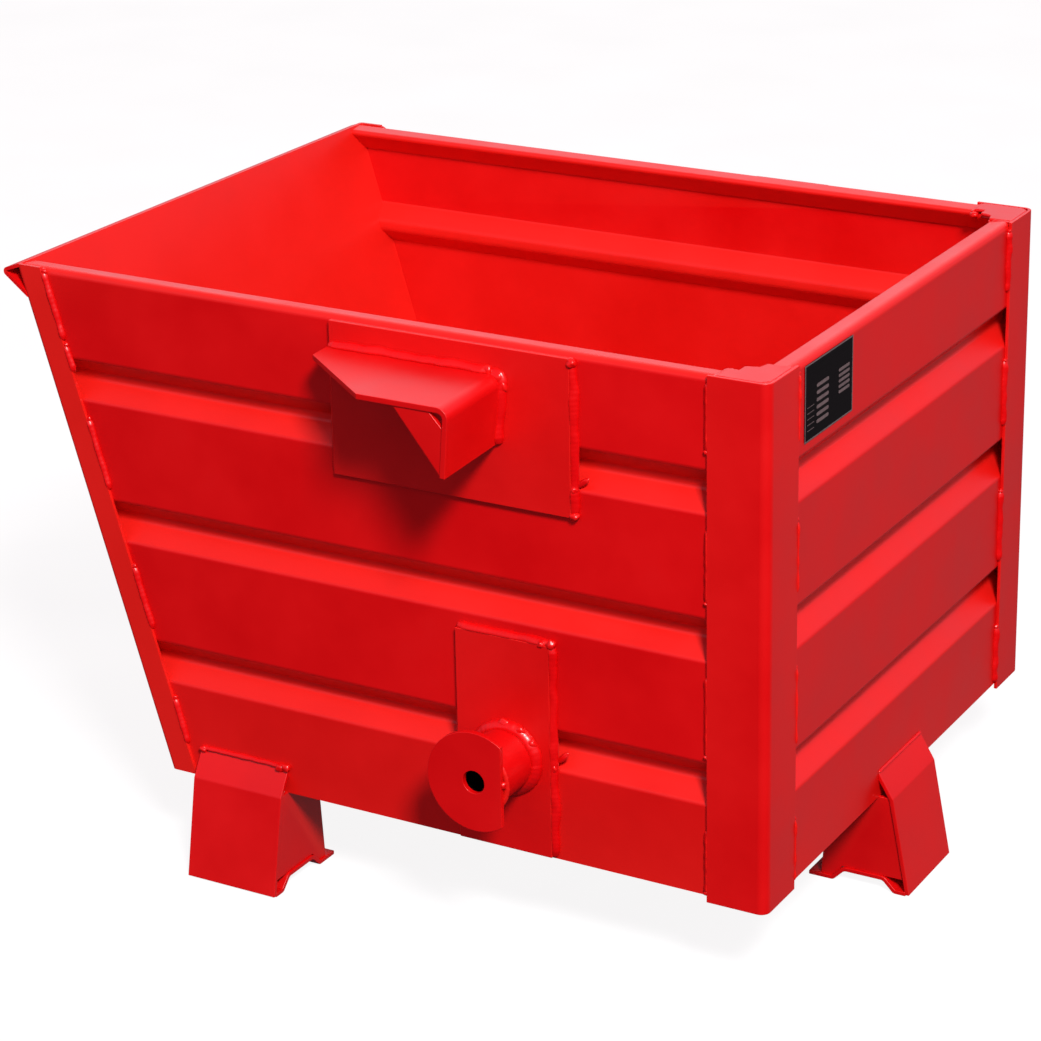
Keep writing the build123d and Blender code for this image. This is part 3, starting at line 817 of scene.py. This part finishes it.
class SKIP_OT_stage(bpy.types.Operator):
    """Make the floor, the lights and the camera"""

    bl_idname = "skip.stage"
    bl_label = "Stage"

    def execute(self, context):
        scene = context.scene
        settings = scene.skip_stage
        half = settings.floor_size / 2
        mesh = bpy.data.meshes.new("floor")
        corners = [(-half, -half, 0), (half, -half, 0), (half, half, 0), (-half, half, 0)]
        mesh.from_pydata(corners, [], [(0, 1, 2, 3)])
        floor = bpy.data.objects.new("floor", mesh)
        scene.collection.objects.link(floor)
        # White studio board lit from below as well, so that shadows on it stay pale
        material, tree = new_material("white_studio_board")
        place = add_node(tree, "ShaderNodeTexCoord").outputs["Object"]
        grain = add_node(tree, "ShaderNodeTexNoise", {"Scale": 1 / (400 * MM)}, {"Vector": place})
        tone = add_node(
            tree,
            "ShaderNodeMixRGB",
            {"Color1": linear("#FAFAFA"), "Color2": linear("#FFFFFF")},
            {"Fac": grain.outputs["Fac"]},
        )
        board = add_node(tree, "ShaderNodeBsdfDiffuse", {"Roughness": 0.5}, {"Color": tone.outputs["Color"]})
        lit = add_node(tree, "ShaderNodeEmission", {"Strength": 1.04}, {"Color": tone.outputs["Color"]})
        surface = add_node(
            tree,
            "ShaderNodeMixShader",
            {"Fac": settings.floor_glow},
            {1: board.outputs["BSDF"], 2: lit.outputs["Emission"]},
        )
        add_node(tree, "ShaderNodeOutputMaterial", links={"Surface": surface.outputs["Shader"]})
        mesh.materials.append(material)
        floor.visible_glossy = False
        floor.visible_diffuse = False

        target = Vector((0, 0, 0.45))
        self.lamp("key_light", target, Vector((0.506, -0.551, 0.664)), 9.0, (1.5, 1.5), settings.key_power)

        world = bpy.data.worlds.new("studio")
        scene.world = world
        world.use_nodes = True
        tree = world.node_tree
        tree.nodes.clear()
        # Light from all round: dim from below, strongest above the horizon and softer overhead
        direction = add_node(tree, "ShaderNodeTexCoord").outputs["Generated"]
        height = add_node(tree, "ShaderNodeSeparateXYZ", links={"Vector": direction}).outputs["Z"]
        lift = add_node(
            tree,
            "ShaderNodeMapRange",
            {"From Min": -0.1, "From Max": 0.35, "To Min": 0.10 * settings.sky, "To Max": settings.sky},
            {"Value": height},
        )
        overhead = add_node(
            tree,
            "ShaderNodeMapRange",
            {"From Min": 0.35, "From Max": 0.85, "To Min": 1.0, "To Max": 0.4},
            {"Value": height},
        )
        dome = add_node(
            tree,
            "ShaderNodeMath",
            {"operation": "MULTIPLY"},
            {0: lift.outputs["Result"], 1: overhead.outputs["Result"]},
        )
        tinted = add_node(
            tree,
            "ShaderNodeVectorMath",
            {"operation": "SCALE", 0: (1.35, 0.8, 1.05)},
            {"Scale": dome.outputs["Value"]},
        )
        backdrop = self.patch(tree, direction, Vector((-0.42, 0.70, 0.57)), 10, 42, settings.backdrop)
        card = self.patch(tree, direction, Vector((0.50, 0.78, -0.37)), 8, 40, settings.card)
        total = add_node(tree, "ShaderNodeMath", {"operation": "ADD"}, {0: backdrop, 1: card})
        lit = add_node(
            tree,
            "ShaderNodeVectorMath",
            {"operation": "ADD"},
            {0: tinted.outputs["Vector"], 1: total.outputs["Value"]},
        )
        sky = add_node(tree, "ShaderNodeBackground", {"Strength": 1.0}, {"Color": lit.outputs["Vector"]})
        white = add_node(tree, "ShaderNodeBackground", {"Color": (1, 1, 1, 1), "Strength": 1.0})
        rays = add_node(tree, "ShaderNodeLightPath")
        mixed = add_node(
            tree,
            "ShaderNodeMixShader",
            None,
            {
                "Fac": rays.outputs["Is Camera Ray"],
                1: sky.outputs["Background"],
                2: white.outputs["Background"],
            },
        )
        add_node(tree, "ShaderNodeOutputWorld", links={"Surface": mixed.outputs["Shader"]})

        data = bpy.data.cameras.new("camera")
        data.sensor_width = 36
        data.lens = 109.34
        data.shift_x = -0.0685
        data.shift_y = -0.117
        data.clip_start = 0.1
        data.clip_end = 200
        camera = bpy.data.objects.new("camera", data)
        scene.collection.objects.link(camera)
        camera.location = (2.17395, -3.8002, 2.1548)
        camera.rotation_euler = [math.radians(a) for a in (70.7886, 0.6799, 28.6631)]
        scene.camera = camera
        scene.view_settings.view_transform = "Standard"
        scene.view_settings.look = "None"
        return {"FINISHED"}

    def patch(self, tree, direction, towards, core, reach, strength):
        """Soft patch of studio light, full within core degrees of a direction and gone at reach degrees."""
        aim = add_node(
            tree,
            "ShaderNodeVectorMath",
            {"operation": "DOT_PRODUCT", 1: tuple(towards.normalized())},
            {0: direction},
        )
        fade = add_node(
            tree,
            "ShaderNodeMapRange",
            {
                "interpolation_type": "SMOOTHSTEP",
                "From Min": math.cos(math.radians(reach)),
                "From Max": math.cos(math.radians(core)),
                "To Max": strength,
            },
            {"Value": aim.outputs["Value"]},
        )
        return fade.outputs["Result"]

    def lamp(self, name, target, towards, distance, size, power):
        """Soft rectangular light at a distance from the target, facing it."""
        data = bpy.data.lights.new(name, "AREA")
        data.shape = "RECTANGLE"
        data.size, data.size_y = size
        data.energy = power
        light = bpy.data.objects.new(name, data)
        bpy.context.scene.collection.objects.link(light)
        light.location = target + towards.normalized() * distance
        light.rotation_euler = (-towards).to_track_quat("-Z", "Y").to_euler()


class SKIP_PT_panel(bpy.types.Panel):
    """Lists the pieces of the skip"""

    bl_idname = "SKIP_PT_panel"
    bl_label = "Crane Tipping Skip"
    bl_space_type = "VIEW_3D"
    bl_region_type = "UI"
    bl_category = "Skip"

    def draw(self, context):
        for name, operators in GROUPS:
            group = getattr(context.scene, name)
            box = self.layout.box()
            for key in group.bl_rna.properties.keys():
                if key not in ("rna_type", "name"):
                    box.prop(group, key)
            for operator in operators:
                box.operator(operator)


GROUPS = [
    ("skip_paint", ("skip.sheet", "skip.plate")),
    (
        "skip_welds",
        (
            "skip.weld_paint",
            "skip.body_welds",
            "skip.catch_welds",
            "skip.trunnion_welds",
            "skip.foot_welds",
        ),
    ),
    ("skip_plate", ("skip.data_plate",)),
    ("skip_stage", ("skip.stage",)),
]
SETTINGS = {
    "skip_paint": SkipPaintSettings,
    "skip_welds": SkipWeldSettings,
    "skip_plate": SkipPlateSettings,
    "skip_stage": SkipStageSettings,
}
CLASSES = [
    *SETTINGS.values(),
    SKIP_OT_sheet,
    SKIP_OT_plate,
    SKIP_OT_weld_paint,
    SKIP_OT_body_welds,
    SKIP_OT_catch_welds,
    SKIP_OT_trunnion_welds,
    SKIP_OT_foot_welds,
    SKIP_OT_data_plate,
    SKIP_OT_stage,
    SKIP_PT_panel,
]


def register():
    """Adds the classes and the settings."""
    for item in CLASSES:
        bpy.utils.register_class(item)
    for name, item in SETTINGS.items():
        setattr(bpy.types.Scene, name, PointerProperty(type=item))


def unregister():
    """Removes the settings and the classes."""
    for name in SETTINGS:
        delattr(bpy.types.Scene, name)
    for item in reversed(CLASSES):
        bpy.utils.unregister_class(item)


def main():
    """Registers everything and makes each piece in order."""
    register()
    for _, operators in GROUPS:
        for operator in operators:
            group, name = operator.split(".")
            getattr(getattr(bpy.ops, group), name)()


if __name__ == "__main__":
    main()
